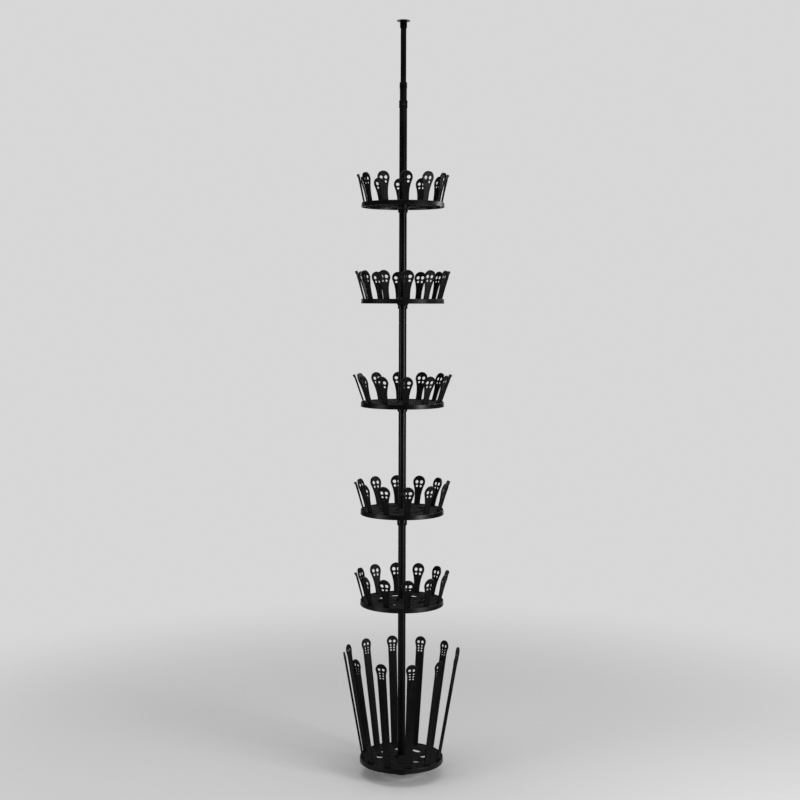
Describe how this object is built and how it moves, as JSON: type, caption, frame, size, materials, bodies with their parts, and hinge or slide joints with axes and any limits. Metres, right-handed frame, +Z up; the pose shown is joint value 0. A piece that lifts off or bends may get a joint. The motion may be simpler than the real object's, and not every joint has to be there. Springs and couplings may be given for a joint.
{
  "type": "rotating shoe tower",
  "caption": "Floor-to-ceiling shoe tower: a telescopic clamping pole with round trays that spin, each ringed by upright blades that hold shoes, with tall blades for boots at the bottom.",
  "frame": {"origin": "centre of the floor pad's underside, on the floor", "axes": "+Z up the pole; -Y faces the viewer, who stands in the room; +X to the viewer's right"},
  "size_m": [0.3792, 0.3792, 2.45],
  "materials": {
    "tube_black": "satin black powder coat on steel tube",
    "tray_black": "black moulded plastic with a fine satin grain",
    "holder_black": "black moulded plastic, satin",
    "collar_black": "black moulded plastic, slightly glossier",
    "inner_plastic": "natural grey moulded plastic, hidden inside the pole",
    "pad_rubber": "dark matt rubber",
    "spring_steel": "bright spring wire",
    "screw_steel": "blackened steel"
  },
  "bodies": {
    "pole": {"floor_pad": "pad_rubber", "floor_foot": "collar_black", "lower_tube": "tube_black", "lower_joint_plug": "collar_black", "middle_tube": "tube_black", "upper_joint_plug": "collar_black", "upper_tube": "tube_black", "grip_bush": "inner_plastic", "tier_2_stop_ring": "collar_black", "tier_3_stop_ring": "collar_black", "tier_3_deep_ring": "collar_black", "tier_4_stop_ring": "collar_black", "tier_5_stop_ring": "collar_black", "tier_6_stop_ring": "collar_black", "stop_ring_screws": "screw_steel"},
    "lock_collar": {"lock_collar": "collar_black"},
    "telescope": {"telescope_tube": "tube_black", "guide_collar": "collar_black", "spring_seat": "inner_plastic", "tension_spring": "spring_steel"},
    "top": {"top_tube": "tube_black", "piston": "inner_plastic", "ceiling_foot": "collar_black", "ceiling_pad": "pad_rubber"},
    "tier_1": {"tier_1_tray": "tray_black", "tier_1_boot_holders": "holder_black"},
    "tier_2": {"tier_2_tray": "tray_black", "tier_2_shoe_holders": "holder_black"},
    "tier_3": {"tier_3_tray": "tray_black", "tier_3_shoe_holders": "holder_black"},
    "tier_4": {"tier_4_tray": "tray_black", "tier_4_shoe_holders": "holder_black"},
    "tier_5": {"tier_5_tray": "tray_black", "tier_5_shoe_holders": "holder_black"},
    "tier_6": {"tier_6_tray": "tray_black", "tier_6_shoe_holders": "holder_black"}
  },
  "joints": [
    {"name": "tier_1_spin", "type": "hinge", "parent": "pole", "child": "tier_1", "pos_m": [0, 0, 0.0365], "axis": [0, 0, 1], "continuous": true},
    {"name": "tier_2_spin", "type": "hinge", "parent": "pole", "child": "tier_2", "pos_m": [0, 0, 0.5439], "axis": [0, 0, 1], "continuous": true},
    {"name": "tier_3_spin", "type": "hinge", "parent": "pole", "child": "tier_3", "pos_m": [0, 0, 0.8378], "axis": [0, 0, 1], "continuous": true},
    {"name": "tier_4_spin", "type": "hinge", "parent": "pole", "child": "tier_4", "pos_m": [0, 0, 1.1869], "axis": [0, 0, 1], "continuous": true},
    {"name": "tier_5_spin", "type": "hinge", "parent": "pole", "child": "tier_5", "pos_m": [0, 0, 1.5214], "axis": [0, 0, 1], "continuous": true},
    {"name": "tier_6_spin", "type": "hinge", "parent": "pole", "child": "tier_6", "pos_m": [0, 0, 1.8343], "axis": [0, 0, 1], "continuous": true},
    {"name": "lock_twist", "type": "hinge", "parent": "pole", "child": "lock_collar", "pos_m": [0, 0, 2.1655], "axis": [0, 0, 1], "range_deg": [0, 90]},
    {"name": "telescope_slide", "type": "slide", "parent": "pole", "child": "telescope", "axis": [0, 0, 1], "range_m": [-0.035, 0.45]},
    {"name": "top_spring_slide", "type": "slide", "parent": "telescope", "child": "top", "axis": [0, 0, 1], "range_m": [-0.04, 0], "stiffness_N_per_m": 2500, "springref_m": 0.02, "deforming": ["tension_spring"]}
  ]
}
